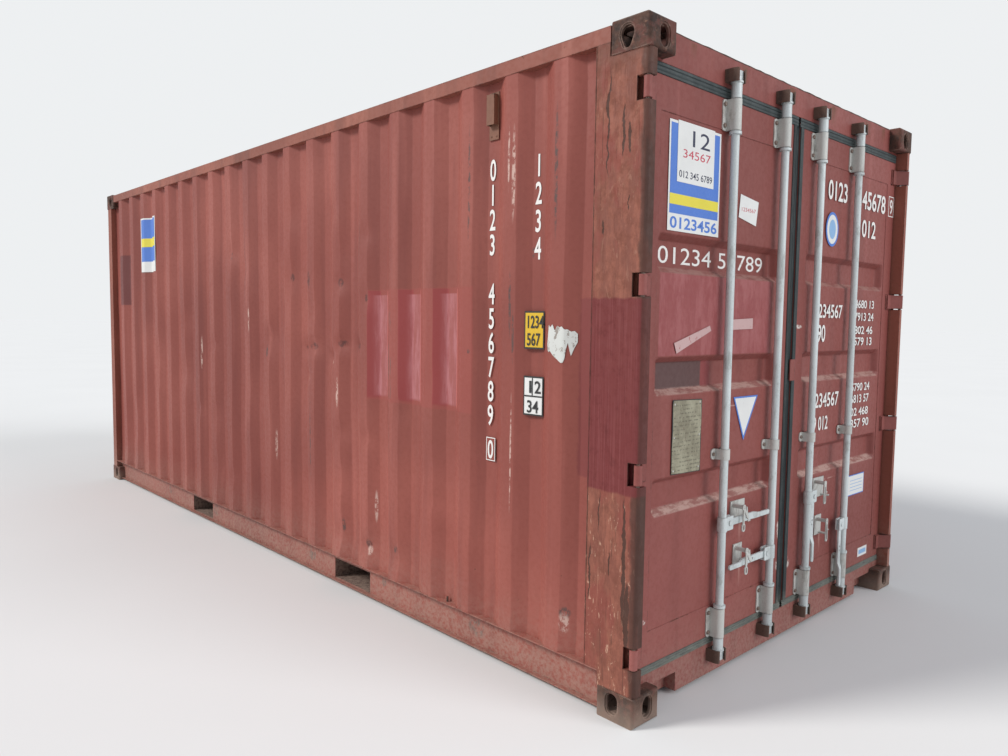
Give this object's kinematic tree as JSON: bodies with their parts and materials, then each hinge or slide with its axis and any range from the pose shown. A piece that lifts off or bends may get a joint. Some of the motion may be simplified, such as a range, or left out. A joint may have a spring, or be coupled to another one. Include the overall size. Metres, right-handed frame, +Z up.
{
  "type": "shipping container",
  "caption": "Corrugated steel freight container on slotted corner fittings, with hinged end doors, lock bars, handles, fork pockets and a plywood floor.",
  "frame": {"origin": "on the ground under the middle of the container", "axes": "+X to the door end, +Y to the right side seen facing the doors, +Z up"},
  "size_m": [6.058, 2.438, 2.591],
  "materials": {
    "fitting_steel": "rusty cast steel",
    "post_paint": "worn orange-brown paint with scratches and rust",
    "rail_paint": "faded red-brown paint",
    "wall_paint": "faded red-brown paint with scuffs",
    "door_paint": "faded red-brown paint",
    "base_paint": "dark underbody paint",
    "vent_paint": "faded brown paint",
    "zinc": "weathered galvanised steel",
    "keeper_steel": "dark rusty forged steel",
    "pin_steel": "dull steel",
    "seal_rubber": "matt black rubber",
    "floor_wood": "scuffed marine plywood"
  },
  "bodies": {
    "root": {"bottom_corner_fittings": "fitting_steel", "top_corner_fittings": "fitting_steel", "front_post_left": "post_paint", "front_post_right": "post_paint", "rear_post_left": "post_paint", "rear_post_right": "post_paint", "bottom_side_rail_left": "rail_paint", "bottom_side_rail_right": "rail_paint", "top_side_rail_left": "rail_paint", "top_side_rail_right": "rail_paint", "front_bottom_rail": "rail_paint", "front_top_rail": "rail_paint", "door_sill": "rail_paint", "door_header": "rail_paint", "side_wall_left": "wall_paint", "side_wall_right": "wall_paint", "front_wall": "wall_paint", "roof_panel": "wall_paint", "roof_corner_plates": "rail_paint", "cross_members": "base_paint", "fork_pockets": "base_paint", "floor_boards": "floor_wood", "floor_strips": "base_paint", "ventilators": "vent_paint", "cam_keepers": "keeper_steel", "hinge_pins": "pin_steel", "door_hooks": "keeper_steel"},
    "door_left": {"door_frame_left": "door_paint", "door_panel_left": "door_paint", "door_seal_left": "seal_rubber", "door_hinges_left": "door_paint", "bar_brackets_left": "zinc"},
    "door_right": {"door_frame_right": "door_paint", "door_panel_right": "door_paint", "door_seal_right": "seal_rubber", "door_hinges_right": "door_paint", "bar_brackets_right": "zinc", "door_lap_plate": "door_paint"},
    "lock_bar_1": {"lock_bar_1": "zinc"},
    "handle_1": {"handle_1": "zinc"},
    "catch_1": {"catch_1": "zinc"},
    "lock_bar_2": {"lock_bar_2": "zinc"},
    "handle_2": {"handle_2": "zinc"},
    "catch_2": {"catch_2": "zinc"},
    "lock_bar_3": {"lock_bar_3": "zinc"},
    "handle_3": {"handle_3": "zinc"},
    "catch_3": {"catch_3": "zinc"},
    "lock_bar_4": {"lock_bar_4": "zinc"},
    "handle_4": {"handle_4": "zinc"},
    "catch_4": {"catch_4": "zinc"}
  },
  "joints": [
    {"name": "door_left_hinge", "type": "hinge", "parent": "root", "child": "door_left", "pos_m": [3.012, -1.202, 1.3], "axis": [0, 0, -1], "range_deg": [0, 260]},
    {"name": "door_right_hinge", "type": "hinge", "parent": "root", "child": "door_right", "pos_m": [3.012, 1.202, 1.3], "axis": [0, 0, 1], "range_deg": [0, 260]},
    {"name": "lock_bar_1_turn", "type": "hinge", "parent": "door_left", "child": "lock_bar_1", "pos_m": [3.003, -0.6, 1.3], "axis": [0, 0, 1], "range_deg": [-100, 0]},
    {"name": "handle_1_lift", "type": "hinge", "parent": "lock_bar_1", "child": "handle_1", "pos_m": [3.004, -0.555, 0.668], "axis": [1, 0, 0], "range_deg": [0, 6]},
    {"name": "catch_1_swing", "type": "hinge", "parent": "door_left", "child": "catch_1", "pos_m": [3.0255, -0.465, 0.723], "axis": [1, 0, 0], "range_deg": [0, 110]},
    {"name": "lock_bar_2_turn", "type": "hinge", "parent": "door_left", "child": "lock_bar_2", "pos_m": [3.003, -0.18, 1.3], "axis": [0, 0, -1], "range_deg": [-100, 0]},
    {"name": "handle_2_lift", "type": "hinge", "parent": "lock_bar_2", "child": "handle_2", "pos_m": [3.004, -0.225, 0.472], "axis": [-1, 0, 0], "range_deg": [0, 6]},
    {"name": "catch_2_swing", "type": "hinge", "parent": "door_left", "child": "catch_2", "pos_m": [3.0255, -0.43, 0.527], "axis": [-1, 0, 0], "range_deg": [0, 110]},
    {"name": "lock_bar_3_turn", "type": "hinge", "parent": "door_right", "child": "lock_bar_3", "pos_m": [3.003, 0.18, 1.3], "axis": [0, 0, 1], "range_deg": [-100, 0]},
    {"name": "handle_3_lift", "type": "hinge", "parent": "lock_bar_3", "child": "handle_3", "pos_m": [3.004, 0.225, 0.668], "axis": [1, 0, 0], "range_deg": [0, 30]},
    {"name": "catch_3_swing", "type": "hinge", "parent": "door_right", "child": "catch_3", "pos_m": [3.0255, 0.315, 0.723], "axis": [1, 0, 0], "range_deg": [0, 110]},
    {"name": "lock_bar_4_turn", "type": "hinge", "parent": "door_right", "child": "lock_bar_4", "pos_m": [3.003, 0.6, 1.3], "axis": [0, 0, -1], "range_deg": [-100, 0]},
    {"name": "handle_4_lift", "type": "hinge", "parent": "lock_bar_4", "child": "handle_4", "pos_m": [3.004, 0.555, 0.472], "axis": [-1, 0, 0], "range_deg": [0, 30]},
    {"name": "catch_4_swing", "type": "hinge", "parent": "door_right", "child": "catch_4", "pos_m": [3.0255, 0.35, 0.527], "axis": [-1, 0, 0], "range_deg": [0, 110]}
  ]
}
